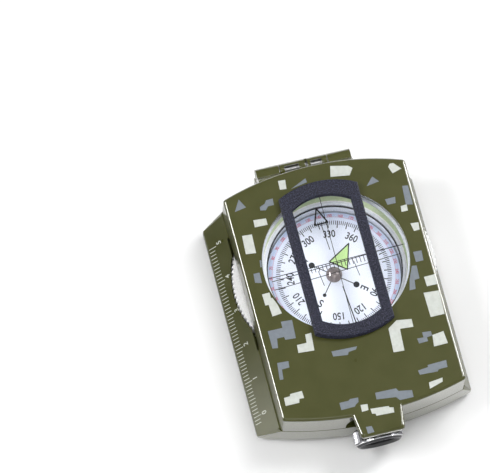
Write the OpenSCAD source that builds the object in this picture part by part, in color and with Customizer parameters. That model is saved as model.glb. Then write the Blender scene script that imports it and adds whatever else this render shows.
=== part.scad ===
// Pocket sighting compass: a metal base with a liquid capsule and a turning
// bezel, a hinged lid with a window and a raised sighting frame, and a
// focusing eyepiece under the lid's front tongue.
// Origin: on the dial's turning axis, at the bottom resting face.
// +X to the right, +Y towards the hinge, +Z up. Millimetres.

/* [Lid] */
// Width of the lid across its straight sides
lid_w = 51.4; // [50.6:0.1:52]
// Height of the lid's side wall
lid_h = 9; // [8.6:0.1:9.6]
// Thickness of the lid's side wall
lid_wall = 1.5; // [1.2:0.1:1.6]
// Thickness of the lid's top plate
lid_top_t = 1.6; // [1.4:0.1:1.8]
// Width of the tongue over the eyepiece, at its root
tongue_w = 14.0; // [13:0.2:14.4]
// Width of the tongue at its front edge
tongue_tip_w = 12.4; // [12:0.2:13]
// How far the tongue's front edge lies in front of the dial axis
tongue_reach = 51.0; // [50:0.2:52]

/* [Window and sighting frame] */
// Radius of the lid's window
window_r = 20.2; // [19.8:0.1:20.4]
// Height of the sighting frame above the lid
frame_h = 2.0; // [1.4:0.1:2.6]
// Half width of the sighting frame
frame_x = 11.1; // [10.6:0.1:11.6]
// Half width of the sighting frame's opening
frame_in_x = 8.3; // [7.8:0.1:8.8]

/* [Base] */
// How far the left flank reaches from the dial axis
flank_left = 31.7; // [31:0.1:32.4]
// How far the right flank reaches from the dial axis
flank_right = 28.4; // [28:0.1:29.4]
// Thickness of the bottom cover
cover_t = 2.0; // [1.8:0.1:2.2]

/* [Bezel and dial] */
// Radius over the bezel's knurled teeth
bezel_r = 28.2; // [28:0.1:28.3]
// Number of teeth round the bezel
bezel_teeth = 128; // [96:2:140]
// Radius of the compass card
card_r = 18.3; // [17.6:0.1:18.3]

/* [Eyepiece] */
// Radius over the focusing ring's knurl
focus_r = 6.7; // [6.4:0.1:6.8]
// How far the eyepiece tilts down towards the front, in degrees
eye_tilt = 9.5; // [8:0.5:10]
// Number of teeth round the focusing ring
focus_teeth = 44; // [36:2:52]

/* [Hinge] */
// Radius of the hinge barrel
barrel_r = 1.9; // [1.8:0.1:1.9]
// Half length of the hinge barrel
barrel_x = 13.4; // [12.4:0.2:14]
// How far the hinge's middle lies left of the dial axis
hinge_left = 1.2; // [0:0.1:1.6]
// Half length of the middle knuckle
knuckle_x = 6.7; // [6:0.1:7.2]

/* [Hidden] */
$fn = 64;
e = 0.01;

// heights
seam_z = 9;
lid_z = seam_z + lid_h;
lid_under = lid_z - lid_top_t;
deck_lo = 8.15;
flange_lo = 5.2;
flange_hi = 8.0;
turret_hi = 11.1;
hinge_y = 30.5;
hinge_z = 12.6;

// rear centre of the focusing ring
eye_at = [-0.5, -46.26, 9.42];

// plan arcs of the two ends
rear_r = 77.5;   rear_y = 28.45;
front_r = 92;    front_y = -44.9;
half_w = lid_w / 2;
corner_r = 1.0;
edge_r = 0.9;

// region between the two end arcs, pulled in by d
module ends(d) {
    intersection() {
        translate([0, rear_y - rear_r]) circle(r = rear_r - d, $fn = 240);
        translate([0, front_y + front_r]) circle(r = front_r - d, $fn = 280);
    }
}

// lid outline pulled in by d, with small round corners
module outline(d) {
    c = corner_r;
    x = half_w - d - c + 0.001;
    yr = rear_y - rear_r + sqrt(pow(rear_r - d - c, 2) - x * x);
    yf = front_y + front_r - sqrt(pow(front_r - d - c, 2) - x * x);
    tr = x * (1 + c / (rear_r - d - c));
    intersection() {
        union() {
            intersection() { ends(d); square([2 * tr, 200], center = true); }
            translate([-half_w + d, yf]) square([2 * (half_w - d), yr - yf]);
            for (s = [-1, 1]) {
                translate([s * x, yr]) circle(r = c, $fn = 32);
                translate([s * x, yf]) circle(r = c, $fn = 32);
            }
        }
        ends(d);
    }
}

// solid between z0 and z1 whose top edge is rounded with radius b
module lid_block(z0, z1, b) {
    hull()
        for (a = [0 : 18 : 90])
            translate([0, 0, z0]) linear_extrude(z1 - b + b * sin(a) - z0) outline(b * (1 - cos(a)));
}

// tongue plan, tapered to the front, pulled in by d
module tongue(d) {
    w0 = tongue_w / 2 - d;
    w1 = tongue_tip_w / 2 - d;
    y0 = -44;
    y1 = -tongue_reach + 1 + d;
    union() {
        polygon([[-w0, y0 + 2], [-w0, y0], [-w1, y1], [w1, y1], [w0, y0], [w0, y0 + 2]]);
        translate([-w1 + 1, -tongue_reach + d]) square([2 * w1 - 2, 2]);
        for (s = [-1, 1])
            translate([s * (w1 - 1), -tongue_reach + 1 + d]) circle(r = 1, $fn = 32);
    }
}

// places its children in the eyepiece's frame: origin at the focusing ring's
// rear, +Z out along the tilted optical axis
module eye() {
    translate(eye_at) rotate([90 + eye_tilt, 0, 0]) children();
}

// star outline for knurls
function star(n, ro, ri) = [for (i = [0 : 2 * n - 1])
    let (a = i * 180 / n, r = i % 2 == 0 ? ro : ri) [r * cos(a), r * sin(a)]];

// screw pointing up from z, with a cross recess in its head
module screw(head_r, head_h, r, len) {
    difference() {
        union() {
            cylinder(h = head_h, r1 = head_r, r2 = r, $fn = 32);
            translate([0, 0, head_h - e]) cylinder(h = len - head_h + e, r = r, $fn = 24);
        }
        translate([-head_r * 0.6, -0.2, -e]) cube([head_r * 1.2, 0.4, 0.5]);
        translate([-0.2, -head_r * 0.6, -e]) cube([0.4, head_r * 1.2, 0.5]);
    }
}

cover_at = [[-21.5, 20.8], [21.5, 20.8], [-21.5, -37.5], [21.5, -37.5]];
foot_at = [[-8.2, -37], [8.2, -37]];
frame_at = [21.95, -21.95];

// ---------- base ----------
// cross section with both sloping flanks; their outer edges are rounded
module flank_profile() {
    polygon(concat(
        [[-half_w - 0.3, seam_z], [half_w + 0.3, seam_z]],
        [for (i = [0 : 5]) let (a = 22.5 - i * 4.5)
            [flank_right - 1.4 + 1.4 * cos(a), 2.9 + 1.4 * sin(a)]],
        [[flank_right, 2], [-flank_left, 2]],
        [for (i = [0 : 6]) let (a = 180 - i * 44 / 6)
            [-flank_left + 1.4 + 1.4 * cos(a), 2.53 + 1.4 * sin(a)]]));
}

// plan of the base, pulled in by d, with corners of radius c
module footprint(d, c) {
    ry = rear_y - rear_r;
    fy = front_y + front_r;
    kr = 1 + c / (rear_r - d - c);
    kf = 1 + c / (front_r - d - c);
    l = flank_left - d;
    r = flank_right - d;
    intersection() {
        union() {
            translate([-(l - c) * kr, 0]) square([(l + r - 2 * c) * kr, 60]);
            translate([-(l - c) * kf, -60]) square([(l + r - 2 * c) * kf, 60]);
            for (s = [-1, 1]) {
                x = s < 0 ? l - c : r - c;
                yr = ry + sqrt(pow(rear_r - d - c, 2) - x * x);
                yf = fy - sqrt(pow(front_r - d - c, 2) - x * x);
                translate([s < 0 ? -l : 0, yf]) square([s < 0 ? l : r, yr - yf]);
                translate([s * x, yr]) circle(r = c, $fn = 48);
                translate([s * x, yf]) circle(r = c, $fn = 48);
            }
        }
        ends(d);
    }
}

// y of the end wall at x: t is -1 at the front, 1 at the rear
function end_y(x, t) = t < 0 ? front_y + front_r - sqrt(front_r * front_r - x * x)
                             : rear_y - rear_r + sqrt(rear_r * rear_r - x * x);

// wedge that takes off one corner of the base, wide at the seam and nothing at the foot
module corner_cut(s, t) {
    x9 = half_w + 0.3;
    xf = s < 0 ? flank_left : flank_right;
    c = [s * xf, end_y(xf, t), 2.9];
    a = [s * (x9 - 0.8), end_y(x9 - 0.8, t), seam_z];
    b = [s * x9, end_y(x9, t) - t * 0.8, seam_z];
    a2 = c + 1.15 * (a - c);
    b2 = c + 1.15 * (b - c);
    d = [s * (x9 + 7), end_y(x9, t) + t * 7, seam_z + 0.5];
    hull() polyhedron(points = [c - 0.05 * (a - c), a2 + 0.8 * (a2 - b2), b2 + 0.8 * (b2 - a2), d],
                      faces = [[0, 1, 2], [0, 3, 1], [1, 3, 2], [2, 3, 0]]);
}

module base_housing() {
    color([0.33, 0.34, 0.20])
    difference() {
        union() {
            intersection() {
                translate([0, 60, 0]) rotate([90, 0, 0]) linear_extrude(120) flank_profile();
                translate([0, 0, 1]) linear_extrude(10) footprint(0, 0.8);
            }
            // hinge boss, and the arm that carries the middle knuckle
            translate([-barrel_x - hinge_left, 0, 0]) rotate([90, 0, 90]) linear_extrude(2 * barrel_x)
                polygon([[22, 3], [28.6, 3], [30.2, 3.5], [31.4, 4.7], [31.9, 6.2],
                         [31.9, 8.0], [31.3, 8.6], [22, 8.6]]);
            translate([-knuckle_x - hinge_left, 0, 0]) rotate([90, 0, 90]) linear_extrude(2 * knuckle_x)
                polygon([[28.9, 6], [31.6, 6], [31.9, 8.4], [hinge_y + barrel_r, 10.8],
                         [hinge_y + barrel_r, hinge_z], [28.9, hinge_z]]);
            translate([-knuckle_x - hinge_left, hinge_y, hinge_z]) rotate([0, 90, 0])
                cylinder(h = 2 * knuckle_x, r = barrel_r, $fn = 48);
        }
        // inside
        difference() {
            intersection() {
                translate([0, 60, 0]) rotate([90, 0, 0]) linear_extrude(120)
                    polygon([[-23.6, deck_lo], [23.6, deck_lo], [25.7, 2.8], [25.7, 1],
                             [-28.7, 1], [-28.7, 3.2]]);
                linear_extrude(20) ends(2.2);
            }
            for (p = cover_at)
                translate([p[0] > 0 ? 18.8 : -30, p[1] > 0 ? 18.6 : -45, 0])
                    cube([p[0] > 0 ? 11 : 11.2, p[1] > 0 ? 8 : 10.5, p[1] > 0 ? 4.8 : 9]);
            for (p = foot_at) translate([p[0], p[1], 4]) cylinder(h = 5, r = 1.9, $fn = 32);
        }
        // way for the bezel's flange
        translate([0, 0, flange_lo - 0.2]) cylinder(h = deck_lo - flange_lo + 0.2, r = bezel_r + 0.2, $fn = 160);
        // slots at the lid's foot, where the flange comes out through both flanks
        for (s = [-1, 1]) {
            translate([s > 0 ? 24.3 : -26.25, -17.2, 6.5]) cube([1.95, 33.4, 4]);
            intersection() {
                translate([0, 0, flange_lo - 0.2]) cylinder(h = 6, r = bezel_r + 0.2, $fn = 160);
                translate([s > 0 ? 24.3 : -34.3, -17.2, 5]) cube([10, 33.4, 6]);
            }
        }
        // shallow rebate under the lid's rim, which shows as the seam
        translate([0, 0, seam_z - 0.35]) linear_extrude(1) difference() {
            ends(-1);
            ends(0.9);
        }
        // corners run out from the lid's round ones to the sharp foot
        for (s = [-1, 1]) for (t = [-1, 1]) corner_cut(s, t);
        // pockets in the middle knuckle, where the pin shows
        for (p = [[-5.4, 4.2], [2.0, 3.2]])
            translate([p[0] - hinge_left, hinge_y - 3, hinge_z - 0.4]) cube([p[1], 3.5, 4]);
        translate([0.5 - hinge_left, hinge_y - 3, hinge_z + 0.4]) cube([0.7, 6, 4]);
        // round opening in the deck for the bezel's turret
        translate([0, 0, 7]) cylinder(h = 5, r = 24.2, $fn = 128);
        // saddle for the eyepiece barrel
        eye() translate([0, 0, -6.8]) cylinder(h = 12, r = 5.1, $fn = 64);
        // hinge pin bore
        translate([-20, hinge_y, hinge_z]) rotate([0, 90, 0]) cylinder(h = 40, r = 0.86, $fn = 32);
        // screw holes
        for (p = cover_at) translate([p[0], p[1], 1]) cylinder(h = 3.6, r = 0.98, $fn = 24);
        for (p = foot_at) translate([p[0], p[1], 5]) cylinder(h = 6, r = 0.68, $fn = 24);
    }
}

module bottom_cover() {
    color([0.30, 0.31, 0.19])
    difference() {
        union() {
            intersection() {
                translate([0, 60, 0]) rotate([90, 0, 0]) linear_extrude(120)
                    polygon([[-flank_left + 1.9, 0], [flank_right - 1.9, 0],
                             [flank_right - 1.3, 0.6], [flank_right - 1.3, cover_t],
                             [-flank_left + 1.3, cover_t], [-flank_left + 1.3, 0.6]]);
                linear_extrude(5) ends(1.3);
            }
            // rim that carries the bezel
            translate([0, 0, cover_t - 0.5]) cylinder(h = 4.8 - cover_t + 0.5, r = 24.6, $fn = 128);
        }
        translate([0, 0, cover_t]) cylinder(h = 6, r = 21.0, $fn = 128);
        for (p = cover_at) translate([p[0], p[1], 0]) {
            translate([0, 0, -e]) cylinder(h = 4, r = 1.05, $fn = 24);
            translate([0, 0, -e]) cylinder(h = 0.3 + e, r = 2.05, $fn = 32);
            translate([0, 0, 0.28]) cylinder(h = 1.1, r1 = 2.05, r2 = 1.05, $fn = 32);
        }
    }
}

module cover_screws() {
    color("silver")
    for (p = cover_at) translate([p[0], p[1], 0.3]) screw(1.95, 1.0, 0.92, 4.0);
}

module friction_ring() {
    color("wheat")
    translate([0, 0, 4.8]) difference() {
        cylinder(h = 0.3, r = 24.4, $fn = 128);
        translate([0, 0, -1]) cylinder(h = 3, r = 21.6, $fn = 128);
    }
}

// ---------- eyepiece ----------
module eyepiece_barrel() {
    color([0.16, 0.16, 0.17])
    difference() {
        union() {
            eye() translate([0, 0, -6.5]) cylinder(h = 9.1, r = 4.9, $fn = 64);
            // prism box and its two feet
            translate([eye_at[0] - 5.8, -41, seam_z]) cube([11.6, 16.2, 6.4]);
            translate([-10.0, -39.4, seam_z]) cube([20.0, 6.4, 1.4]);
        }
        eye() translate([0, 0, -6.0]) cylinder(h = 12, r = 4.1, $fn = 64);
        eye() translate([0, 0, -14]) cylinder(h = 10, r = 3.1, $fn = 64);
        // prism pocket, open to the rear and below
        translate([eye_at[0] - 4.6, -33.4, seam_z - 2]) cube([9.2, 12, 7.0]);
        for (p = foot_at) translate([p[0], p[1], 7]) cylinder(h = 6, r = 0.75, $fn = 24);
        for (p = foot_at) translate([p[0], p[1], seam_z + 1.0]) cylinder(h = 6, r = 1.45, $fn = 24);
    }
}

module reading_prism() {
    color([0.80, 0.90, 0.95, 0.5])
    translate([eye_at[0] + 4.5, 0, 0]) rotate([0, -90, 0]) linear_extrude(9.0)
        polygon([[9.3, -33.0], [13.9, -33.0], [13.9, -26.0], [9.3, -29.6]]);
}

module eyepiece_screws() {
    color("silver")
    for (p = foot_at) translate([p[0], p[1], seam_z + 1.9]) mirror([0, 0, 1])
        screw(1.35, 0.8, 0.64, 4.8);
}

module focus_ring() {
    color("silver")
    eye() difference() {
        union() {
            cylinder(h = 0.6, r1 = focus_r - 0.6, r2 = focus_r - 0.35, $fn = 64);
            translate([0, 0, 0.5]) linear_extrude(3.0) polygon(star(focus_teeth, focus_r, focus_r - 0.45));
            translate([0, 0, 3.4]) cylinder(h = 0.6, r = focus_r - 0.3, $fn = 64);
            translate([0, 0, 3.9]) cylinder(h = 0.8, r1 = focus_r - 0.3, r2 = focus_r - 0.9, $fn = 64);
        }
        // turns on the barrel, and opens to the lens in front
        translate([0, 0, -1]) cylinder(h = 3.9, r = 4.96, $fn = 64);
        translate([0, 0, 2]) cylinder(h = 5, r = 4.6, $fn = 64);
        translate([0, 0, 4.0]) cylinder(h = 0.8, r1 = 4.6, r2 = 5.5, $fn = 64);
    }
}

module lens_cell() {
    color([0.14, 0.14, 0.15])
    eye() translate([0, 0, -4.6]) difference() {
        cylinder(h = 7.8, r = 4.04, $fn = 64);
        translate([0, 0, -1]) cylinder(h = 12, r = 3.1, $fn = 64);
        translate([0, 0, 4.4]) cylinder(h = 5, r = 3.5, $fn = 64);
    }
}

module eyepiece_lens() {
    color([0.75, 0.85, 0.95, 0.5])
    eye() translate([0, 0, -0.2]) intersection() {
        cylinder(h = 2.2, r = 3.46, $fn = 64);
        translate([0, 0, 9.0]) sphere(r = 9.0, $fn = 96);
        translate([0, 0, 2.2 - 9.0]) sphere(r = 9.0, $fn = 96);
    }
}

module lens_retainer() {
    color([0.2, 0.2, 0.21])
    eye() translate([0, 0, 2.05]) difference() {
        cylinder(h = 1.1, r = 3.48, $fn = 64);
        translate([0, 0, -1]) cylinder(h = 4, r = 2.8, $fn = 64);
        translate([0, 0, 0.5]) cylinder(h = 0.7, r1 = 2.8, r2 = 3.3, $fn = 64);
    }
}

// ---------- level ----------
module level_cup() {
    color("silver")
    translate([15.6, -34.4, seam_z]) difference() {
        union() {
            cylinder(h = 0.8, r = 5.4, $fn = 64);
            cylinder(h = 3.4, r = 4.7, $fn = 64);
        }
        translate([0, 0, 0.7]) cylinder(h = 5, r = 4.05, $fn = 64);
    }
}

module level_vial() {
    color([0.75, 0.9, 0.35, 0.6])
    translate([15.6, -34.4, seam_z + 0.7]) intersection() {
        cylinder(h = 3.6, r = 4.0, $fn = 64);
        translate([0, 0, 3.6 - 14]) sphere(r = 14, $fn = 96);
    }
}

// ---------- bezel and capsule ----------
module bezel_ring() {
    color([0.86, 0.87, 0.88])
    difference() {
        union() {
            intersection() {
                translate([0, 0, flange_lo]) linear_extrude(flange_hi - flange_lo)
                    polygon(star(bezel_teeth, bezel_r, bezel_r - 0.6));
                translate([0, 0, flange_hi - 6]) cylinder(h = 6, r1 = bezel_r + 5.1, r2 = bezel_r - 0.4, $fn = 128);
            }
            translate([0, 0, flange_lo]) cylinder(h = turret_hi - 0.4 - flange_lo, r = 23.6, $fn = 128);
            translate([0, 0, turret_hi - 0.41]) cylinder(h = 0.41, r1 = 23.6, r2 = 23.2, $fn = 128);
        }
        translate([0, 0, 0]) cylinder(h = 20, r = 19.45, $fn = 128);
        // groove for the luminous ring
        translate([0, 0, turret_hi - 0.5]) difference() {
            cylinder(h = 1, r = 22.55, $fn = 128);
            translate([0, 0, -1]) cylinder(h = 3, r = 19.75, $fn = 128);
        }
    }
}

module luminous_ring() {
    color([0.80, 0.88, 0.62])
    translate([0, 0, turret_hi - 0.5]) difference() {
        cylinder(h = 0.45, r = 22.5, $fn = 128);
        translate([0, 0, -1]) cylinder(h = 3, r = 19.8, $fn = 128);
    }
}

module capsule_cup() {
    color([0.92, 0.93, 0.96])
    difference() {
        translate([0, 0, 2.3]) cylinder(h = turret_hi - 2.3, r = 19.4, $fn = 128);
        translate([0, 0, 3.2]) cylinder(h = 10, r = 18.7, $fn = 128);
        translate([0, 0, 2]) cylinder(h = 3, r = 0.6, $fn = 24);
    }
}

module capsule_glass() {
    color([0.85, 0.92, 0.97, 0.35])
    translate([0, 0, 10.25]) cylinder(h = 0.85, r = 18.66, $fn = 128);
}

module capsule_seal() {
    color([0.12, 0.12, 0.12])
    translate([0, 0, 9.75]) difference() {
        cylinder(h = 0.5, r = 18.66, $fn = 128);
        translate([0, 0, -1]) cylinder(h = 3, r = 18.35, $fn = 128);
    }
}

module pivot_post() {
    color([0.72, 0.60, 0.35])
    union() {
        translate([0, 0, 2.3]) cylinder(h = 1.2, r = 0.58, $fn = 24);
        translate([0, 0, 3.2]) cylinder(h = 0.7, r = 1.6, $fn = 48);
        translate([0, 0, 3.8]) cylinder(h = 2.5, r = 0.5, $fn = 24);
    }
}

// ---------- card ----------
module compass_card() {
    color([0.90, 0.91, 0.97])
    translate([0, 0, 5.3]) difference() {
        cylinder(h = 0.4, r = card_r, $fn = 128);
        translate([0, 0, -1]) cylinder(h = 3, r = 1.2, $fn = 32);
    }
}

// the card's north lies off the body's axis at rest
card_turn = -38;

module card_magnets() {
    color([0.45, 0.46, 0.48])
    rotate([0, 0, card_turn])
    for (s = [-1, 1]) translate([s * 3.3 - 0.9, -8.5, 3.9]) cube([1.8, 17, 1.4]);
}

module card_hub() {
    color([0.70, 0.62, 0.55])
    difference() {
        union() {
            translate([0, 0, 4.3]) cylinder(h = 2, r = 1.2, $fn = 32);
            translate([0, 0, 5.7]) cylinder(h = 0.5, r = 2.2, $fn = 64);
            translate([0, 0, 6.19]) intersection() {
                cylinder(h = 1.2, r = 2.2, $fn = 64);
                translate([0, 0, 1.2 - 2.62]) sphere(r = 2.62, $fn = 64);
            }
        }
        translate([0, 0, 3]) cylinder(h = 3.36, r = 0.56, $fn = 24);
    }
}

// ---------- lid ----------
module lid_shell() {
    color([0.33, 0.34, 0.20])
    difference() {
        union() {
            lid_block(seam_z, lid_z, edge_r);
            hull()
                for (a = [0 : 18 : 90])
                    translate([0, 0, lid_under]) linear_extrude(lid_top_t - edge_r * (1 - sin(a)))
                        tongue(edge_r * (1 - cos(a)));
            // outer knuckles and their sloping webs
            for (s = [-1, 1]) translate([(s > 0 ? knuckle_x + 0.2 : -barrel_x) - hinge_left, 0, 0]) {
                translate([0, hinge_y, hinge_z]) rotate([0, 90, 0])
                    cylinder(h = barrel_x - knuckle_x - 0.2, r = barrel_r, $fn = 48);
                rotate([90, 0, 90]) linear_extrude(barrel_x - knuckle_x - 0.2)
                    polygon([[26.2, hinge_z - 1.7], [hinge_y, hinge_z - barrel_r],
                             [hinge_y, hinge_z + barrel_r], [29.4, hinge_z + barrel_r],
                             [27.9, 16.2], [26.2, 16.2]]);
            }
        }
        // inside
        translate([0, 0, seam_z - 1]) linear_extrude(lid_under - seam_z + 1) outline(lid_wall);
        translate([0, 0, seam_z]) cylinder(h = 20, r = window_r, $fn = 160);
        // arch round the eyepiece in the front wall
        translate([0, -40, 0]) rotate([90, 0, 0]) linear_extrude(8)
            intersection() {
                union() {
                    translate([eye_at[0], 10]) circle(r = 8.0, $fn = 96);
                    translate([eye_at[0] - 8.0, seam_z - 1]) square([16, 2]);
                }
                translate([-20, 0]) square([40, lid_under]);
            }
        translate([-20, hinge_y, hinge_z]) rotate([0, 90, 0]) cylinder(h = 40, r = 0.82, $fn = 32);
        for (y = frame_at) translate([0, y, lid_under - 1]) cylinder(h = 5, r = 0.55, $fn = 24);
    }
}

module window_glass() {
    color([0.88, 0.94, 0.97, 0.3])
    union() {
        translate([0, 0, lid_under]) cylinder(h = lid_top_t - 0.2, r = window_r - 0.05, $fn = 160);
        translate([0, 0, lid_under - 0.6]) cylinder(h = 0.6, r = window_r + 0.45, $fn = 160);
    }
}

module window_ring() {
    color([0.20, 0.20, 0.21])
    difference() {
        translate([0, 0, lid_under - 1.2]) cylinder(h = 1.2, r = 23.2, $fn = 128);
        translate([0, 0, lid_under - 0.62]) cylinder(h = 2, r = window_r + 0.5, $fn = 128);
        translate([0, 0, 5]) cylinder(h = 20, r = window_r - 0.5, $fn = 128);
        for (y = frame_at) translate([0, y, 5]) cylinder(h = 20, r = 1.2, $fn = 32);
    }
}

// sighting frame outlines, pulled in by d
module frame_out(d) {
    intersection() {
        square([2 * (frame_x - d), 60], center = true);
        circle(r = 22.9 - d, $fn = 120);
        translate([0, -0.6]) circle(r = 23.4 - d, $fn = 120);
    }
}
module frame_hole(d) {
    // straight sides with a shallow arc at each end
    union() {
        translate([-frame_in_x - d, -16.9]) square([2 * (frame_in_x + d), 32.9]);
        intersection() {
            square([2 * (frame_in_x + d), 60], center = true);
            union() {
                translate([0, 18.6 - 14.6]) circle(r = 14.6 + d, $fn = 96);
                translate([0, -19.4 + 15.0]) circle(r = 15.0 + d, $fn = 96);
            }
        }
    }
}

module sight_frame() {
    color([0.20, 0.20, 0.25])
    difference() {
        hull()
            for (a = [0 : 18 : 90])
                translate([0, 0, lid_z]) linear_extrude(frame_h - 0.5 * (1 - sin(a)))
                    frame_out(0.5 * (1 - cos(a)));
        translate([0, 0, lid_z - 1]) linear_extrude(5) frame_hole(0);
        for (y = frame_at) translate([0, y, lid_z - 1]) cylinder(h = 2.3, r = 0.5, $fn = 24);
    }
}

module frame_screws() {
    color("silver")
    for (y = frame_at) translate([0, y, lid_under - 0.9]) union() {
        difference() {
            cylinder(h = 0.9, r = 1.05, $fn = 32);
            translate([-0.75, -0.15, -e]) cube([1.5, 0.3, 0.4]);
        }
        translate([0, 0, 0.8]) cylinder(h = lid_top_t + 1.3, r = 0.48, $fn = 24);
    }
}

module hinge_pin() {
    color("silver")
    translate([-barrel_x + 0.1 - hinge_left, hinge_y, hinge_z]) rotate([0, 90, 0])
        cylinder(h = 2 * barrel_x - 0.2, r = 0.8, $fn = 32);
}

base_housing();
bottom_cover();
cover_screws();
friction_ring();
eyepiece_barrel();
reading_prism();
eyepiece_screws();
level_cup();
level_vial();
bezel_ring();
luminous_ring();
capsule_cup();
capsule_glass();
capsule_seal();
pivot_post();
compass_card();
card_magnets();
card_hub();
focus_ring();
lens_cell();
eyepiece_lens();
lens_retainer();
lid_shell();
window_glass();
window_ring();
sight_frame();
frame_screws();
hinge_pin();
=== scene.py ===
import bpy
import bmesh
import math
from mathutils import Matrix, Vector


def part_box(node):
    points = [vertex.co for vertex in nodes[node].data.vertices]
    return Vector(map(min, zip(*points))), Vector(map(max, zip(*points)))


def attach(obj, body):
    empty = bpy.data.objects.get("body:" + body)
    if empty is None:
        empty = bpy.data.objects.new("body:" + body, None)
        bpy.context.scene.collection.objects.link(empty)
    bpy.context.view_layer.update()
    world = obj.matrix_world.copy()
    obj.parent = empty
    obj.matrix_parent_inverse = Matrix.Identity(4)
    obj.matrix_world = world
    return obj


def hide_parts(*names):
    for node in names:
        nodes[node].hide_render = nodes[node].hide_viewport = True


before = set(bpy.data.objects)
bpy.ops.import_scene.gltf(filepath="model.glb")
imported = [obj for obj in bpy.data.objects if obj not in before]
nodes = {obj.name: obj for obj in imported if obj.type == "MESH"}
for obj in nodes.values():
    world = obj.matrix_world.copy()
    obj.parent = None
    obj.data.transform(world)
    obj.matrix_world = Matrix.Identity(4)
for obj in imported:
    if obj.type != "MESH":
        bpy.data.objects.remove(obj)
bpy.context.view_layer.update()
scene = bpy.context.scene
MM = 0.001

LID_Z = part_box("lid_shell")[1].z / MM          # lid's top plane
GLASS_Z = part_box("window_glass")[0].z / MM     # window's underside
CAP_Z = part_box("capsule_glass")[1].z / MM      # capsule glass's top
CARD_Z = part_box("compass_card")[1].z / MM      # card's top
HUB_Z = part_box("card_hub")[1].z / MM
CARD_TURN = -38.0
CAP_TURN = 3.8
EYE_AT, EYE_TILT = (-0.5, -46.26, 9.42), 9.5
FOCUS_R = 6.7


# ---------------------------------------------------------------- camera
def aim_camera():
    az, el, roll = math.radians(-18.925), math.radians(69.722), math.radians(4.95)
    back = Vector((math.sin(az) * math.cos(el), -math.cos(az) * math.cos(el), math.sin(el)))
    right = Vector((math.cos(az), math.sin(az), 0))
    up = back.cross(right)
    r2 = right * math.cos(roll) + up * math.sin(roll)
    u2 = -right * math.sin(roll) + up * math.cos(roll)
    loc = Vector((0, 0, 0.018)) + 1.5 * back - 0.0248 * r2 + 0.0063 * u2
    cam = bpy.data.cameras.new("camera")
    cam.lens = 404.8
    cam.sensor_width = 36
    cam.clip_start, cam.clip_end = 0.05, 10
    ob = bpy.data.objects.new("camera", cam)
    ob.matrix_world = Matrix(((r2.x, u2.x, back.x, loc.x), (r2.y, u2.y, back.y, loc.y), (r2.z, u2.z, back.z, loc.z), (0, 0, 0, 1)))
    scene.collection.objects.link(ob)
    scene.camera = ob


aim_camera()


# ---------------------------------------------------------------- material helpers
class Mat:
    """A node material, with short calls for the nodes used here."""

    def __init__(self, name):
        self.m = bpy.data.materials.new(name)
        self.m.use_nodes = True
        self.t = self.m.node_tree
        self.t.nodes.clear()
        self.out = self.t.nodes.new("ShaderNodeOutputMaterial")

    def n(self, kind, **kw):
        node = self.t.nodes.new(kind)
        for k, v in kw.items():
            setattr(node, k, v)
        return node

    def link(self, a, b):
        self.t.links.new(a, b)

    def bsdf(self, **sockets):
        b = self.n("ShaderNodeBsdfPrincipled")
        for k, v in sockets.items():
            b.inputs[k.replace("_", " ")].default_value = v
        return b

    def coords(self, scale=1.0):
        c = self.n("ShaderNodeTexCoord")
        mp = self.n("ShaderNodeMapping")
        mp.inputs["Scale"].default_value = (scale, scale, scale) if not isinstance(scale, tuple) else scale
        self.link(c.outputs["Object"], mp.inputs["Vector"])
        return mp.outputs["Vector"]

    def noise(self, scale, detail=2.0, rough=0.5, vec=None):
        t = self.n("ShaderNodeTexNoise")
        t.inputs["Scale"].default_value = scale
        t.inputs["Detail"].default_value = detail
        t.inputs["Roughness"].default_value = rough
        self.link(vec if vec is not None else self.coords(), t.inputs["Vector"])
        return t.outputs["Fac"]

    def ramp(self, fac, stops):
        r = self.n("ShaderNodeValToRGB")
        el = r.color_ramp.elements
        while len(el) > len(stops):
            el.remove(el[-1])
        while len(el) < len(stops):
            el.new(1.0)
        for e, (p, c) in zip(el, stops):
            e.position = p
            e.color = (*c, 1) if isinstance(c, tuple) else (c, c, c, 1)
        self.link(fac, r.inputs["Fac"])
        return r.outputs["Color"]

    def map(self, fac, lo, hi, a, b):
        r = self.n("ShaderNodeMapRange")
        r.inputs["From Min"].default_value = lo
        r.inputs["From Max"].default_value = hi
        r.inputs["To Min"].default_value = a
        r.inputs["To Max"].default_value = b
        self.link(fac, r.inputs["Value"])
        return r.outputs["Result"]

    def mix(self, fac, a, b):
        x = self.n("ShaderNodeMix", data_type="RGBA")
        for key, v in ((0, fac), (6, a), (7, b)):
            if hasattr(v, "links"):
                self.link(v, x.inputs[key])
            else:
                x.inputs[key].default_value = (*v, 1) if isinstance(v, tuple) else v
        return x.outputs[2]

    def bump(self, height, strength, distance):
        b = self.n("ShaderNodeBump")
        b.inputs["Strength"].default_value = strength
        b.inputs["Distance"].default_value = distance
        self.link(height, b.inputs["Height"])
        return b.outputs["Normal"]

    def done(self, shader):
        self.link(shader, self.out.inputs["Surface"])
        return self.m


def lin(r, g, b):
    f = lambda v: v / 12.92 if v <= 0.04045 else ((v + 0.055) / 1.055) ** 2.4
    return tuple(f(v / 255.0) for v in (r, g, b))


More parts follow.
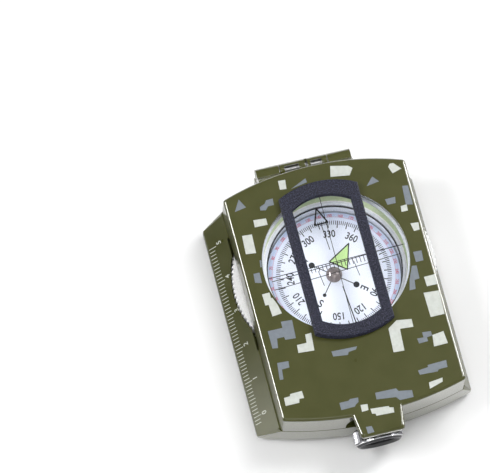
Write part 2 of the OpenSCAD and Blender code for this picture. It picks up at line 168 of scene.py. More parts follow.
# ---------------------------------------------------------------- materials
def olive_paint():
    m = Mat("olive_paint")
    # wet-sprayed enamel: an even coat with faint flow mottling, fine dust nibs and orange peel
    mottle = m.noise(160, 3, 0.55)
    fine = m.noise(5200, 2, 0.6)
    base = m.ramp(mottle, [(0.30, lin(66, 68, 28)), (0.72, lin(71, 72, 31))])
    col = m.mix(m.map(fine, 0.62, 0.80, 0.0, 0.25), base, lin(84, 86, 52))
    b = m.bsdf(Roughness=0.30, IOR=1.45, Specular_IOR_Level=0.2, Coat_Weight=0.6, Coat_Roughness=0.05)
    m.link(col, b.inputs["Base Color"])
    m.link(m.map(mottle, 0.2, 0.8, 0.26, 0.36), b.inputs["Roughness"])
    m.link(m.bump(m.noise(1500, 2, 0.5), 0.06, 0.0001), b.inputs["Normal"])
    # towards grazing angles the lacquer mirrors its surroundings
    g = m.n("ShaderNodeBsdfGlossy")
    g.inputs["Roughness"].default_value = 0.16
    g.inputs["Color"].default_value = (0.86, 0.86, 0.84, 1)
    lw = m.n("ShaderNodeLayerWeight")
    lw.inputs["Blend"].default_value = 0.5
    s = m.n("ShaderNodeMixShader")
    # painted shade: the grazing mirror is cut back on walls facing ±X, so the side walls read darker than the ends
    tc = m.n("ShaderNodeTexCoord")
    sep = m.n("ShaderNodeSeparateXYZ")
    m.link(tc.outputs["Normal"], sep.inputs[0])
    ab = m.n("ShaderNodeMath", operation="ABSOLUTE")
    m.link(sep.outputs["X"], ab.inputs[0])
    fade = m.n("ShaderNodeMath", operation="MULTIPLY")
    m.link(m.map(ab.outputs[0], 0.45, 0.85, 1.0, 0.12), fade.inputs[0])
    m.link(m.map(lw.outputs["Facing"], 0.34, 0.74, 0.0, 0.46), fade.inputs[1])
    m.link(fade.outputs[0], s.inputs["Fac"])
    m.link(b.outputs[0], s.inputs[1])
    m.link(g.outputs[0], s.inputs[2])
    return m.done(s.outputs[0])


def flake_paint(name, c0, c1):
    m = Mat(name)
    v = m.noise(900, 3, 0.6)
    b = m.bsdf(Roughness=0.34, Coat_Weight=0.4, Coat_Roughness=0.08)
    m.link(m.ramp(v, [(0.35, c0), (0.7, c1)]), b.inputs["Base Color"])
    m.link(m.bump(m.noise(2600, 2, 0.5), 0.05, 0.0001), b.inputs["Normal"])
    return m.done(b.outputs[0])


def speckle_black():
    m = Mat("speckle_black")
    # textured powder coat: dark slate with lighter and violet grains
    a = m.noise(3200, 3, 0.65)
    c = m.noise(4300, 2, 0.6)
    v = m.n("ShaderNodeTexVoronoi")
    v.inputs["Scale"].default_value = 2600
    m.link(m.coords(), v.inputs["Vector"])
    base = m.ramp(a, [(0.36, lin(8, 8, 13)), (0.50, lin(31, 32, 45)), (0.64, lin(62, 64, 84))])
    col = m.mix(m.map(c, 0.57, 0.68, 0.0, 0.6), base, lin(86, 88, 110))
    b = m.bsdf(Roughness=0.66, Specular_IOR_Level=0.10)
    m.link(col, b.inputs["Base Color"])
    m.link(m.bump(v.outputs["Distance"], 0.35, 0.00012), b.inputs["Normal"])
    return m.done(b.outputs[0])


def plated(name="plated", tint=(0.90, 0.905, 0.92), rough=0.14, metallic=1.0):
    m = Mat(name)
    v = m.noise(700, 3, 0.6)
    b = m.bsdf(Metallic=metallic, Roughness=rough)
    m.link(m.ramp(v, [(0.3, tuple(x * 0.95 for x in tint)), (0.75, tint)]), b.inputs["Base Color"])
    m.link(m.map(m.noise(3000, 2, 0.5), 0.3, 0.7, rough * 0.8, rough * 1.25), b.inputs["Roughness"])
    return m.done(b.outputs[0])


def steel():
    m = Mat("screw_steel")
    v = m.noise(1400, 3, 0.6)
    b = m.bsdf(Metallic=1.0, Roughness=0.32)
    m.link(m.ramp(v, [(0.3, (0.42, 0.42, 0.43)), (0.75, (0.62, 0.62, 0.63))]), b.inputs["Base Color"])
    m.link(m.map(v, 0.3, 0.7, 0.24, 0.42), b.inputs["Roughness"])
    return m.done(b.outputs[0])


def plastic(name, c0, c1, rough, scale=1200, bump=0.15, spec=0.5):
    m = Mat(name)
    v = m.noise(scale, 3, 0.6)
    b = m.bsdf(Roughness=rough, Specular_IOR_Level=spec)
    m.link(m.ramp(v, [(0.3, c0), (0.72, c1)]), b.inputs["Base Color"])
    m.link(m.map(v, 0.3, 0.7, rough * 0.85, rough * 1.2), b.inputs["Roughness"])
    m.link(m.bump(m.noise(scale * 2.5, 2, 0.5), bump, 0.00005), b.inputs["Normal"])
    return m.done(b.outputs[0])


def clear(name, tint, low=0.02):
    """Thin clear acrylic: what is behind shows straight through, with Fresnel gloss on top."""
    m = Mat(name)
    t = m.n("ShaderNodeBsdfTransparent")
    v = m.noise(120, 2, 0.5)
    m.link(m.ramp(v, [(0.3, tuple(x * 0.995 for x in tint)), (0.7, tint)]), t.inputs["Color"])
    g = m.n("ShaderNodeBsdfGlossy")
    g.inputs["Roughness"].default_value = 0.02
    lw = m.n("ShaderNodeLayerWeight")
    lw.inputs["Blend"].default_value = 0.5
    f = m.n("ShaderNodeMath", operation="POWER")
    m.link(lw.outputs["Facing"], f.inputs[0])
    f.inputs[1].default_value = 4.5
    s = m.n("ShaderNodeMixShader")
    m.link(m.map(f.outputs[0], 0.0, 1.0, low, 0.8), s.inputs["Fac"])
    m.link(t.outputs[0], s.inputs[1])
    m.link(g.outputs[0], s.inputs[2])
    return m.done(s.outputs[0])


def lens_glass():
    m = Mat("lens_glass")
    v = m.noise(400, 2, 0.5)
    b = m.bsdf(Roughness=0.03, IOR=1.5, Coat_Weight=1.0, Coat_Roughness=0.02)
    m.link(m.ramp(v, [(0.3, (0.012, 0.014, 0.020)), (0.7, (0.022, 0.026, 0.040))]), b.inputs["Base Color"])
    return m.done(b.outputs[0])


def card_face():
    m = Mat("card_face")
    # matt white card with a lavender cast; the blue-grey band near its rim is painted shade
    c = m.n("ShaderNodeTexCoord")
    sep = m.n("ShaderNodeSeparateXYZ")
    m.link(c.outputs["Object"], sep.inputs[0])
    flat = m.n("ShaderNodeCombineXYZ")
    m.link(sep.outputs["X"], flat.inputs["X"])
    m.link(sep.outputs["Y"], flat.inputs["Y"])
    ln = m.n("ShaderNodeVectorMath", operation="LENGTH")
    m.link(flat.outputs[0], ln.inputs[0])
    r = ln.outputs["Value"]
    # painted shade: the card darkens to blue-grey towards its rim
    band = m.ramp(m.map(r, 0.0, 0.0185, 0.0, 1.0), [
        (0.0, lin(240, 242, 253)), (0.78, lin(238, 241, 252)), (0.90, lin(230, 235, 250)),
        (0.935, lin(196, 208, 230)), (0.97, lin(186, 200, 224)), (0.99, lin(210, 218, 234))])
    grain = m.noise(2600, 2, 0.6)
    col = m.mix(m.map(grain, 0.35, 0.75, 0.0, 0.08), band, lin(222, 226, 244))
    b = m.bsdf(Roughness=0.55, Specular_IOR_Level=0.3)
    m.link(col, b.inputs["Base Color"])
    m.link(m.bump(grain, 0.05, 0.00003), b.inputs["Normal"])
    return m.done(b.outputs[0])


def ink(name, c0, c1=None, rough=0.5):
    m = Mat(name)
    v = m.noise(3500, 2, 0.6)
    b = m.bsdf(Roughness=rough, Specular_IOR_Level=0.3)
    m.link(m.ramp(v, [(0.3, c0), (0.75, c1 or tuple(x * 1.25 for x in c0))]), b.inputs["Base Color"])
    return m.done(b.outputs[0])


MAT = {
    "olive": olive_paint(),
    "white_patch": flake_paint("patch_off_white", lin(190, 194, 187), lin(202, 206, 200)),
    "grey_patch": flake_paint("patch_blue_grey", lin(110, 118, 126), lin(118, 126, 134)),
    "black": speckle_black(),
    "plated": plated(),
    # painted reflection: the focusing ring's chrome is tinted dark for the dark surroundings it mirrors
    "chrome_painted_dark": plated("chrome_painted_dark", (0.15, 0.15, 0.158), 0.20),
    "bright": plated("bright_knurl", (1.0, 1.0, 1.0), 0.30, 0.10),
    "steel": steel(),
    "matt_black": plastic("matt_black", (0.010, 0.010, 0.011), (0.022, 0.022, 0.024), 0.42),
    "white": plastic("capsule_white", lin(226, 230, 238), lin(238, 241, 246), 0.30),
    "lume": plastic("luminous_green", lin(198, 213, 172), lin(212, 226, 188), 0.45),
    "nylon": plastic("natural_nylon", lin(214, 206, 186), lin(228, 221, 204), 0.5),
    "rubber": plastic("seal_rubber", (0.012, 0.012, 0.012), (0.024, 0.024, 0.024), 0.65),
    "brass": plated("turned_brass", (0.80, 0.62, 0.30), 0.25),
    "hub": plated("hub_jewel", (0.30, 0.25, 0.24), 0.22, 0.35),
    "window": clear("window_acrylic", (0.995, 0.998, 1.0)),
    "capsule": clear("capsule_acrylic", (0.99, 0.995, 1.0)),
    "lens": lens_glass(),
    "prism": clear("prism_glass", (0.80, 0.88, 0.90)),
    "vial": plastic("vial_green", lin(176, 205, 70), lin(196, 220, 92), 0.08, 300, 0.0),
    "card": card_face(),
    "ink": ink("print_black", (0.006, 0.006, 0.009)),
    "fine_ink": ink("print_grey", (0.012, 0.013, 0.019)),
    "red_ink": ink("print_red", lin(196, 96, 112)),
    "green_ink": ink("print_green", lin(196, 230, 150), lin(206, 238, 162)),
    "engrave": ink("ruler_fill", lin(190, 193, 178), lin(204, 207, 194)),
    "hair": ink("hairline_black", (0.005, 0.005, 0.007)),
}


def dress(ob, mat):
    ob.data.materials.clear()
    ob.data.materials.append(mat)


# ---------------------------------------------------------------- finished shells
def finished(node, mat, body, width=0.12, segments=2, angle=28):
    """A copy of a CAD node with its worked edges broken and its facets smoothed, that stands for the node."""
    src = nodes[node]
    bm = bmesh.new()
    bm.from_mesh(src.data)
    bmesh.ops.remove_doubles(bm, verts=bm.verts, dist=2e-6)
    bmesh.ops.dissolve_limit(bm, angle_limit=math.radians(0.35), verts=bm.verts, edges=bm.edges)
    for f in bm.faces:
        f.smooth = True
    me = bpy.data.meshes.new(node + "_finished")
    bm.to_mesh(me)
    bm.free()
    ob = bpy.data.objects.new(node + "_finished", me)
    scene.collection.objects.link(ob)
    bev = ob.modifiers.new("edges", "BEVEL")
    bev.width = width * MM
    bev.segments = segments
    bev.limit_method = "ANGLE"
    bev.angle_limit = math.radians(angle)
    bev.use_clamp_overlap = True
    bev.miter_outer = "MITER_ARC"
    bpy.context.view_layer.update()
    dg = bpy.context.evaluated_depsgraph_get()
    out = bpy.data.meshes.new_from_object(ob.evaluated_get(dg))
    ob.modifiers.clear()
    ob.data = out
    bpy.data.meshes.remove(me)
    out.name = node + "_finished"
    for p in out.polygons:
        p.use_smooth = True
    out.set_sharp_from_angle(angle=math.radians(38))
    wn = ob.modifiers.new("normals", "WEIGHTED_NORMAL")
    wn.keep_sharp = True
    wn.weight = 60
    dress(ob, mat)
    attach(ob, body)
    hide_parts(node)
    return ob


finished("lid_shell", MAT["olive"], "lid", 0.14, 2, 42)
finished("base_housing", MAT["olive"], "base", 0.22, 2, 28)
finished("bottom_cover", MAT["olive"], "base", 0.18, 2, 28)
finished("sight_frame", MAT["black"], "lid", 0.18, 2, 42)
finished("eyepiece_barrel", MAT["matt_black"], "base", 0.15, 2, 28)

for name, key in {
    "cover_screws": "steel", "friction_ring": "nylon", "reading_prism": "prism", "eyepiece_screws": "steel",
    "level_cup": "plated", "level_vial": "vial", "bezel_ring": "bright", "luminous_ring": "lume",
    "capsule_cup": "white", "capsule_glass": "capsule", "capsule_seal": "rubber", "pivot_post": "brass",
    "compass_card": "card", "card_magnets": "steel", "card_hub": "hub", "focus_ring": "chrome_painted_dark",
    "lens_cell": "matt_black", "eyepiece_lens": "lens", "lens_retainer": "matt_black",
    "window_glass": "window", "window_ring": "white", "frame_screws": "steel", "hinge_pin": "steel",
}.items():
    dress(nodes[name], MAT[key])


# ---------------------------------------------------------------- thin printed pieces
class Print:
    """Collects thin raised shapes in one mesh. Sizes in mm, in the row frame."""

    def __init__(self):
        self.bm = bmesh.new()

    def prism(self, pts, z0, z1, place=None):
        """A flat prism on an outline; place turns a local mm point into a row mm point."""
        place = place or (lambda p: p)
        area = sum(pts[i][0] * pts[(i + 1) % len(pts)][1] - pts[(i + 1) % len(pts)][0] * pts[i][1] for i in range(len(pts)))
        if area < 0:
            pts = pts[::-1]
        lo = [self.bm.verts.new(Vector(place(Vector((x, y, z0)))) * MM) for x, y in pts]
        hi = [self.bm.verts.new(Vector(place(Vector((x, y, z1)))) * MM) for x, y in pts]
        self.bm.faces.new(hi)
        self.bm.faces.new(lo[::-1])
        k = len(pts)
        for i in range(k):
            self.bm.faces.new((lo[i], lo[(i + 1) % k], hi[(i + 1) % k], hi[i]))

    def line(self, a, b, w, z0, z1, place=None):
        a, b = Vector(a), Vector(b)
        d = (b - a).normalized()
        s = Vector((-d.y, d.x)) * (w / 2)
        self.prism([tuple(a - s), tuple(b - s), tuple(b + s), tuple(a + s)], z0, z1, place)

    def ring(self, r0, r1, z0, z1, a0=0.0, a1=360.0, n=120, place=None, centre=(0, 0)):
        place = place or (lambda p: p)
        full = abs(a1 - a0) >= 360
        k = max(3, int(n * abs(a1 - a0) / 360))
        cols = []
        for i in range(k if full else k + 1):
            a = math.radians(a0 + (a1 - a0) * i / k)
            c, s = math.cos(a), math.sin(a)
            cols.append([self.bm.verts.new(Vector(place(Vector((centre[0] + r * c, centre[1] + r * s, z)))) * MM)
                         for r, z in ((r0, z0), (r1, z0), (r1, z1), (r0, z1))])
        m = len(cols)
        for i in range(m if full else m - 1):
            p, q = cols[i], cols[(i + 1) % m]
            for j in range(4):
                self.bm.faces.new((p[j], p[(j + 1) % 4], q[(j + 1) % 4], q[j]))
        if not full:
            self.bm.faces.new(cols[0][::-1])
            self.bm.faces.new(cols[-1])

    def disc(self, centre, r, z0, z1, n=32, place=None):
        self.prism([(centre[0] + r * math.cos(2 * math.pi * i / n), centre[1] + r * math.sin(2 * math.pi * i / n)) for i in range(n)], z0, z1, place)

    def text(self, body, size, at, turn, z0, z1, place=None, squeeze=1.0, bold=0.0, shear=0.0):
        """Lettering from the built-in font as a thin solid, centred on at, its top towards turn degrees."""
        place = place or (lambda p: p)
        cu = bpy.data.curves.new("lettering", "FONT")
        cu.body = body
        cu.align_x, cu.align_y = "CENTER", "CENTER"
        cu.size = size
        cu.offset = bold
        cu.shear = shear
        cu.resolution_u = 5
        cu.extrude = 0.5
        ob = bpy.data.objects.new("lettering", cu)
        scene.collection.objects.link(ob)
        bpy.context.view_layer.update()
        me = bpy.data.meshes.new_from_object(ob.evaluated_get(bpy.context.evaluated_depsgraph_get()))
        t = math.radians(turn)
        ca, sa = math.cos(t), math.sin(t)
        for v in me.vertices:
            x, y, z = v.co.x * squeeze, v.co.y, z0 if v.co.z < 0 else z1
            v.co = Vector(place(Vector((at[0] + x * ca - y * sa, at[1] + x * sa + y * ca, z)))) * MM
        self.bm.from_mesh(me)
        bpy.data.objects.remove(ob)
        bpy.data.curves.remove(cu)
        bpy.data.meshes.remove(me)

    def make(self, name, mat, body, slot=None):
        bmesh.ops.recalc_face_normals(self.bm, faces=self.bm.faces)
        me = bpy.data.meshes.new(name)
        self.bm.to_mesh(me)
        self.bm.free()
        ob = bpy.data.objects.new(name, me)
        scene.collection.objects.link(ob)
        dress(ob, mat)
        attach(ob, body)
        return ob


def polar(r, bearing, turn=0.0):
    """Point at radius r and clockwise bearing from +Y, for a dial turned by turn degrees."""
    a = math.radians(90 - bearing + turn)
    return (r * math.cos(a), r * math.sin(a))


# camouflage patches on the lid, in mm on its top plane
GREY = [
    [(-21.5, 23.2), (-20.1, 20.5), (-23.4, 19.9)],
    [(-12.4, 21.3), (-12.5, 19.4), (-14.2, 19.4), (-15.0, 18.4), (-16.5, 18.7), (-16.4, 19.7), (-14.9, 20.3), (-14.3, 21.2)],
    [(-6.8, 22.8), (-2.2, 24.9), (-2.1, 23.7)],
    [(-22.9, 1.3), (-21.2, 1.3), (-21.3, -1.8), (-23.1, -1.3)],
    [(-20.3, 4.7), (-19.8, 4.7), (-20.1, 2.7), (-20.6, 2.7)],
    [(-19.1, -13.8), (-16.0, -14.0), (-16.3, -19.3), (-19.2, -19.1), (-19.3, -18.2), (-21.3, -18.2), (-21.7, -20.9), (-23.2, -20.7), (-23.2, -15.6), (-19.1, -15.6)],
    [(-23.0, -25.0), (-19.9, -25.2), (-20.1, -27.0), (-22.2, -27.1), (-22.5, -29.9), (-23.5, -29.9)],
    [(-7.9, -25.3), (-0.8, -25.5), (-1.3, -26.3), (-3.4, -26.5), (-3.8, -27.3), (-7.8, -26.8)],
    [(-9.5, -40.0), (-7.0, -40.0), (-6.4, -39.6), (-4.2, -39.7), (-4.4, -40.9), (-5.3, -41.5), (-5.7, -42.0), (-9.5, -42.1)],
    [(0.6, -39.5), (6.4, -39.6), (6.9, -40.5), (10.5, -41.1), (10.4, -43.1), (6.6, -43.1), (5.8, -42.0), (0.5, -41.4)],
    [(-4.3, -48.3), (-2.7, -48.4), (-2.4, -50.2), (-4.2, -50.3)],
    [(16.4, -35.2), (21.7, -35.0), (21.5, -37.0), (19.0, -37.1), (18.6, -37.6), (13.7, -37.4), (13.5, -36.1), (16.4, -35.8)],
    [(17.4, -25.8), (19.8, -26.0), (19.8, -27.3), (18.3, -27.5), (18.3, -28.6), (15.8, -28.7), (15.6, -27.2), (17.4, -27.3)],
    [(19.6, -6.6), (20.9, -6.8), (20.7, -10.6), (19.3, -10.7), (18.9, -13.3), (17.2, -13.3), (18.0, -10.3)],
    [(21.0, -2.8), (23.3, -2.9), (23.1, -5.8), (21.0, -5.8)],
    [(23.0, 16.5), (24.6, 16.3), (24.5, 10.6), (22.6, 11.0)],
    [(17.4, 13.8), (20.3, 13.9), (20.0, 12.1), (17.7, 12.1)],
    [(15.7, 21.1), (17.2, 19.3), (13.5, 18.7)],
]
WHITE = [
    [(-9.7, 25.9), (-7.7, 25.8), (-8.0, 23.1), (-9.8, 23.3)],
    [(-19.1, 16.4), (-15.6, 16.1), (-15.6, 14.2), (-19.2, 14.3)],
    [(-23.2, 12.7), (-20.5, 12.5), (-20.7, 7.0), (-23.5, 7.3)],
    [(-22.1, -5.0), (-20.0, -4.9), (-20.0, -6.5), (-19.6, -6.6), (-18.7, -8.9), (-18.2, -11.5), (-20.9, -11.8), (-21.1, -8.3), (-22.0, -8.3)],
    [(-13.6, -18.9), (-11.9, -18.8), (-12.3, -23.9), (-16.7, -23.6), (-16.5, -21.3), (-13.8, -21.3)],
    [(-23.7, -35.1), (-22.0, -35.0), (-21.8, -34.4), (-18.5, -34.3), (-18.4, -36.4), (-19.7, -36.3), (-20.0, -37.4), (-23.8, -37.4)],
    [(-4.1, -41.9), (-2.2, -42.1), (-2.4, -43.8), (-4.2, -43.9)],
    [(-1.8, -43.6), (3.2, -44.0), (3.3, -44.4), (4.4, -44.7), (4.2, -46.1), (-0.7, -45.9), (-0.8, -45.2), (-1.7, -45.1)],
    [(15.5, -40.1), (19.4, -39.6), (19.2, -40.7), (15.3, -41.9)],
    [(19.9, -27.2), (23.1, -26.8), (23.4, -30.4), (19.5, -30.5)],
    [(8.8, -22.6), (11.5, -20.8), (15.6, -21.4), (15.5, -23.7), (11.8, -23.4), (11.4, -29.7), (8.4, -29.5)],
    [(20.7, -14.9), (25.0, -15.2), (24.7, -22.1), (20.8, -22.1)],
    [(22.0, -10.5), (25.1, -10.4), (25.2, -13.3), (22.1, -13.3)],
    [(22.4, 5.4), (24.6, 5.2), (24.4, 3.1), (22.8, 3.0)],
    [(21.1, 10.9), (22.8, 11.0), (22.7, 9.2), (20.9, 9.2)],
    [(20.7, 22.8), (21.3, 23.6), (22.3, 23.6), (24.1, 21.5), (21.4, 20.7)],
    [(5.3, 26.8), (10.1, 25.7), (11.1, 24.8), (9.8, 22.9), (4.6, 23.7)],
]
for nm, shapes, mat in (("camo_grey", GREY, "grey_patch"), ("camo_white", WHITE, "white_patch")):
    p = Print()
    for pts in shapes:
        p.prism(pts, LID_Z - 0.02, LID_Z + 0.025)
    p.make(nm, MAT[mat], "lid", "olive_paint")


# sighting lines on the window's underside
def reticle():
    p = Print()
    z0, z1 = GLASS_Z + 0.55, GLASS_Z + 0.60
    p.line((0.35, 19.4), (0.15, -19.6), 0.17, z0, z1)
    p.line((-19.0, -0.5), (19.2, 0.55), 0.20, z0, z1)
    for i in range(-9, 9):
        x = 0.3 + 1.06 * i
        p.line((x, 0.03), (x + 0.05, -1.75), 0.20, z0, z1)
    p.make("window_reticle", MAT["hair"], "lid", "clear_acrylic")


reticle()


# index triangle and reading lines on the capsule's glass
def capsule_lines():
    p = Print()
    z0, z1 = CAP_Z - 0.01, CAP_Z + 0.03
    t = math.radians(CAP_TURN)

    def turned(q):
        return Vector((q.x * math.cos(t) - q.y * math.sin(t), q.x * math.sin(t) + q.y * math.cos(t), q.z))

    tri = [(0.55, 18.1), (-1.35, 13.5), (2.35, 13.4)]
    for i in range(3):
        a, b = tri[i], tri[(i + 1) % 3]
        p.line(a, b, 0.42, z0, z1, turned)
        p.disc(a, 0.21, z0, z1, 12, turned)
    p.line((0.42, 13.2), (0.38, 5.6), 0.20, z0, z1, turned)
    p.line((0.42, -5.6), (0.55, -17.9), 0.30, z0, z1, turned)
    for y in (1.25, -1.25):
        p.line((-17.7, y + 0.15), (18.4, y - 0.05), 0.20, z0, z1, turned)
    for x in (-4.6, 5.6):
        p.line((x, 0.55), (x + 0.25, -4.0), 0.19, z0, z1, turned)
    p.make("capsule_lines", MAT["hair"], "bezel", "clear_acrylic")


capsule_lines()


# the card's printing
def card_print():
    z0, z1 = CARD_Z - 0.01, CARD_Z + 0.02
    fine, black, red, green = Print(), Print(), Print(), Print()
    for d in range(0, 360, 2):
        long = d % 10 == 0
        a, b = polar(15.9, d, CARD_TURN), polar(13.8 if long else 14.75, d, CARD_TURN)
        (black if long else fine).line(a, b, 0.26 if long else 0.19, z0, z1)
    for d in range(30, 361, 30):
        p = polar(11.95, d, CARD_TURN)
        black.text(str(d), 2.9, p, CARD_TURN - d, z0, z1, squeeze=0.80, bold=0.045)
    for d in range(0, 360, 10):
        # short red back-bearing marks near the rim
        p = polar(17.35, d + 2, CARD_TURN)
        red.text(str((d + 180) % 360), 1.15, p, CARD_TURN - d, z0, z1, squeeze=0.85, bold=0.03)
    red.ring(16.95, 17.02, z0, z1, n=180)
    for d, letter in ((90, "E"), (180, "S"), (270, "W")):
        black.text(letter, 3.1, polar(9.0, d, CARD_TURN), CARD_TURN - d, z0, z1, squeeze=0.85, bold=0.05)
        fine.line(polar(2.0, d, CARD_TURN), polar(6.2, d, CARD_TURN), 0.24, z0, z1)
        if d == 180:
            black.disc(polar(6.5, d, CARD_TURN), 0.52, z0, z1)
        else:
            black.disc(polar(6.7, d, CARD_TURN), 0.86, z0, z1)
    tri = [polar(10.1, 0, CARD_TURN), polar(4.05, -42, CARD_TURN), polar(4.05, 42, CARD_TURN)]
    green.prism(tri, z0, z1 + 0.01)
    for i in range(3):
        black.line(tri[i], tri[(i + 1) % 3], 0.34, z0, z1 + 0.03)
        black.disc(tri[i], 0.17, z0, z1 + 0.03, 12)
    black.make("card_print_black", MAT["ink"], "card", "card_white")
    fine.make("card_print_fine", MAT["fine_ink"], "card", "card_white")
    red.make("card_print_red", MAT["red_ink"], "card", "card_white")
    green.make("card_print_green", MAT["green_ink"], "card", "luminous")


card_print()


# engraved centimetre ruler on the left flank
def ruler():
    p = Print()
    # the flank runs from (-26.0, 9) to (-31.7, 3.1): local x goes up the slope from its outer edge
    top, low = Vector((-26.0, 0, 9.0)), Vector((-31.7, 0, 3.1))
    slope = (top - low).normalized()
    normal = Vector((-slope.z, 0, slope.x))

    def on_flank(q):
        return low + slope * q.x + Vector((0, q.y, 0)) + normal * q.z

    z0, z1 = -0.02, 0.03
    for i in range(-2, 51):
        y = -34.2 + i
        end = 3.3 if i % 10 == 0 else (2.85 if i % 5 == 0 else 2.65)
        p.line((0.55, y), (end, y), 0.17, z0, z1, on_flank)
    for c in range(6):
        p.text(str(c), 2.3, (4.6, -34.1 + 10.1 * c), 90, z0, z1, on_flank, squeeze=0.90, bold=0.015)
    p.make("ruler_marks", MAT["engrave"], "base", "olive_paint")


ruler()


# painted shade: matt black pieces in the mouth of the focusing ring and on its chamfer, where the chrome shows dark
def ring_lining():
    at, tilt = Vector(EYE_AT), math.radians(90 + EYE_TILT)

    def on_eye(q):
        return at + Vector((q.x, q.y * math.cos(tilt) - q.z * math.sin(tilt), q.y * math.sin(tilt) + q.z * math.cos(tilt)))

    n = 96
    # profiles in radius and height along the eyepiece's axis: the mouth and the chamfer painted dark, and its bright
    # outer lip
    for name, mat, prof in (
            ("focus_ring_mouth_shade", "matt_black", [(4.58, 3.2), (4.58, 4.03), (5.40, 4.74), (5.50, 4.74), (4.62, 3.95), (4.62, 3.2)]),
            ("focus_ring_chamfer_shade", "matt_black", [(FOCUS_R - 0.44, 4.04), (FOCUS_R - 0.41, 4.07), (FOCUS_R - 0.77, 4.55), (FOCUS_R - 0.80, 4.52)]),
            ("focus_ring_lip", "plated", [(FOCUS_R - 0.34, 3.86), (FOCUS_R - 0.29, 3.86), (FOCUS_R - 0.29, 3.93), (FOCUS_R - 0.41, 4.08), (FOCUS_R - 0.46, 4.02)])):
        p = Print()
        cols = []
        for i in range(n):
            a = 2 * math.pi * i / n
            cols.append([p.bm.verts.new(on_eye(Vector((r * math.cos(a), r * math.sin(a), z))) * MM) for r, z in prof])
        for i in range(n):
            c, d = cols[i], cols[(i + 1) % n]
            for j in range(len(prof)):
                p.bm.faces.new((c[j], c[(j + 1) % len(prof)], d[(j + 1) % len(prof)], d[j]))
        ob = p.make(name, MAT[mat], "focus_wheel", "plated_metal")
        for f in ob.data.polygons:
            f.use_smooth = True
        ob.data.set_sharp_from_angle(angle=math.radians(30))


ring_lining()


# spirit level's ring mark
def level():
    lo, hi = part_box("level_vial")
    cx, cy, zt = (lo.x + hi.x) / 2 / MM, (lo.y + hi.y) / 2 / MM, hi.z / MM
    p = Print()
    p.ring(1.25, 1.45, zt - 0.12, zt + 0.02, n=48, centre=(cx, cy))
    p.make("level_ring_mark", MAT["ink"], "base", "level_acrylic")


level()


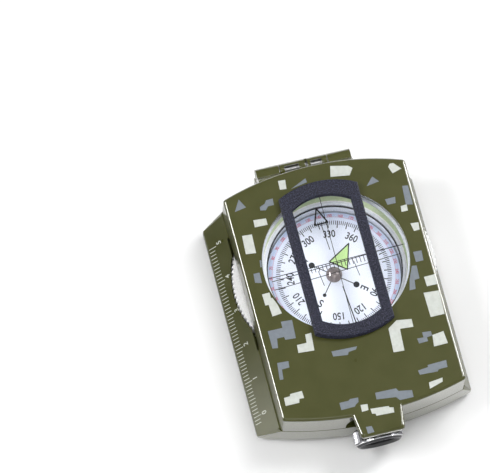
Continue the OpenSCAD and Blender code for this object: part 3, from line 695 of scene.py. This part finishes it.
# ---------------------------------------------------------------- stage
def stage():
    m = Mat("floor")
    b = m.bsdf(Roughness=0.85, Specular_IOR_Level=0.1)
    v = m.noise(3, 2, 0.5)
    m.link(m.ramp(v, [(0.3, (0.90, 0.90, 0.90)), (0.7, (0.92, 0.92, 0.92))]), b.inputs["Base Color"])
    m.done(b.outputs[0])
    me = bpy.data.meshes.new("floor")
    s = 1.6
    me.from_pydata([(-s, -s, 0), (s, -s, 0), (s, s, 0), (-s, s, 0)], [], [(0, 1, 2, 3)])
    ob = bpy.data.objects.new("floor", me)
    scene.collection.objects.link(ob)
    dress(ob, m.m)

    w = bpy.data.worlds.new("studio")
    w.use_nodes = True
    t = w.node_tree
    t.nodes.clear()
    out = t.nodes.new("ShaderNodeOutputWorld")
    # an even pale surround; what the object mirrors is a little darker low down behind and to the left
    co = t.nodes.new("ShaderNodeTexCoord")
    sep = t.nodes.new("ShaderNodeSeparateXYZ")
    t.links.new(co.outputs["Generated"], sep.inputs[0])

    def math_node(op, a, b):
        n = t.nodes.new("ShaderNodeMath")
        n.operation = op
        for i, v in enumerate((a, b)):
            if hasattr(v, "links"):
                t.links.new(v, n.inputs[i])
            else:
                n.inputs[i].default_value = v
        return n.outputs[0]

    height = t.nodes.new("ShaderNodeMapRange")
    height.interpolation_type = "SMOOTHSTEP"
    height.inputs["From Min"].default_value = 0.05
    height.inputs["From Max"].default_value = 0.65
    t.links.new(sep.outputs["Z"], height.inputs["Value"])
    side = math_node("ADD", math_node("MULTIPLY", sep.outputs["X"], 0.45), math_node("MULTIPLY", sep.outputs["Y"], -0.55))
    low = t.nodes.new("ShaderNodeMapRange")
    low.interpolation_type = "SMOOTHSTEP"
    low.inputs["From Min"].default_value = -0.75
    low.inputs["From Max"].default_value = 0.35
    low.inputs["To Min"].default_value = 0.10
    low.inputs["To Max"].default_value = 0.90
    t.links.new(side, low.inputs["Value"])
    mixv = t.nodes.new("ShaderNodeMix")
    mixv.data_type = "FLOAT"
    t.links.new(height.outputs["Result"], mixv.inputs[0])
    t.links.new(low.outputs["Result"], mixv.inputs[2])
    mixv.inputs[3].default_value = 0.42
    seen = t.nodes.new("ShaderNodeBackground")
    seen.inputs["Color"].default_value = (0.97, 0.975, 0.98, 1)
    seen.inputs["Strength"].default_value = 1.0
    lit = t.nodes.new("ShaderNodeBackground")
    lit.inputs["Color"].default_value = (0.985, 0.99, 1.0, 1)
    t.links.new(mixv.outputs[0], lit.inputs["Strength"])
    path = t.nodes.new("ShaderNodeLightPath")
    pick = t.nodes.new("ShaderNodeMixShader")
    t.links.new(path.outputs["Is Camera Ray"], pick.inputs["Fac"])
    t.links.new(lit.outputs[0], pick.inputs[1])
    t.links.new(seen.outputs[0], pick.inputs[2])
    t.links.new(pick.outputs[0], out.inputs["Surface"])
    scene.world = w

    # a dark card lying behind and to the left, seen only as a reflection in the gloss
    k = Mat("dark_card")
    kb = k.bsdf(Roughness=0.9, Specular_IOR_Level=0.1)
    k.link(k.ramp(k.noise(60, 3, 0.6), [(0.3, (0.050, 0.066, 0.030)), (0.7, (0.085, 0.110, 0.050))]), kb.inputs["Base Color"])
    k.done(kb.outputs[0])
    me = bpy.data.meshes.new("dark_card")
    x0, x1, y0, y1, h = -0.150, -0.042, -0.020, 0.120, 0.026
    ys = y0 + 0.038
    me.from_pydata([(x0, ys, 0.001), (x1, y0, 0.001), (x1, y1, 0.001), (x0, y1, 0.001), (x0, ys, h), (x1, y0, h), (x1, y1, h), (x0, y1, h)],
                   [], [(3, 2, 1, 0), (4, 5, 6, 7), (0, 1, 5, 4), (1, 2, 6, 5), (2, 3, 7, 6), (3, 0, 4, 7)])
    flag = bpy.data.objects.new("dark_card", me)
    scene.collection.objects.link(flag)
    dress(flag, k.m)
    flag.visible_camera = flag.visible_diffuse = flag.visible_shadow = flag.visible_transmission = False

    # a pale card standing low in front of it, bright at its front end and fading to nothing
    k = Mat("pale_card")
    tc = k.n("ShaderNodeTexCoord")
    sp = k.n("ShaderNodeSeparateXYZ")
    k.link(tc.outputs["Object"], sp.inputs[0])
    em = k.n("ShaderNodeEmission")
    fade = k.n("ShaderNodeMapRange")
    fade.interpolation_type = "SMOOTHSTEP"
    for key, v in (("From Min", -0.040), ("From Max", -0.006), ("To Min", 3.2), ("To Max", 0.15)):
        fade.inputs[key].default_value = v
    k.link(sp.outputs["Y"], fade.inputs["Value"])
    k.link(fade.outputs["Result"], em.inputs["Strength"])
    k.done(em.outputs[0])
    me = bpy.data.meshes.new("pale_card")
    me.from_pydata([(-0.041, -0.050, 0.001), (-0.041, -0.002, 0.001), (-0.041, -0.002, 0.016), (-0.041, -0.050, 0.016)], [], [(0, 1, 2, 3)])
    pale = bpy.data.objects.new("pale_card", me)
    scene.collection.objects.link(pale)
    dress(pale, k.m)
    pale.visible_camera = pale.visible_diffuse = pale.visible_shadow = pale.visible_transmission = False

    def softbox(name, direction, dist, size, radiance, target=(0, -0.005, 0.012), gloss_only=False, no_gloss=False):
        """A rectangular softbox of the given brightness, facing the object."""
        li = bpy.data.lights.new(name, "AREA")
        li.shape = "RECTANGLE"
        li.size, li.size_y = size
        li.energy = radiance * math.pi * size[0] * size[1]
        o = bpy.data.objects.new(name, li)
        d = Vector(direction).normalized()
        o.location = Vector(target) + d * dist
        o.rotation_euler = d.to_track_quat("Z", "Y").to_euler()
        o.visible_camera = False
        o.visible_diffuse = not gloss_only
        o.visible_glossy = not no_gloss
        scene.collection.objects.link(o)

    softbox("top_front", (-0.12, -0.33, 0.935), 1.1, (0.40, 0.36), 4.5)
    softbox("top_right", (0.54, 0.26, 0.80), 1.1, (0.36, 0.46), 12.5)
    softbox("key_left", (-0.66, 0.10, 0.74), 1.1, (0.36, 0.40), 10.0)
    # a low fill over the dial evens out the raised frame's shadow
    softbox("dial_fill", (0.0, 0.0, 1.0), 0.0, (0.040, 0.038), 0.53, target=(-0.004, -0.001, 0.0150), no_gloss=True)
    softbox("strip_left", (-0.76, 0.33, 0.56), 1.0, (0.60, 0.30), 60.0, gloss_only=True)
    softbox("strip_right", (0.86, 0.33, 0.38), 1.0, (0.50, 0.22), 75.0, gloss_only=True)


stage()
scene.view_settings.view_transform = "Standard"
scene.view_settings.look = "None"
# light has to pass the window and the capsule, in and out again
scene.cycles.transparent_max_bounces = 24
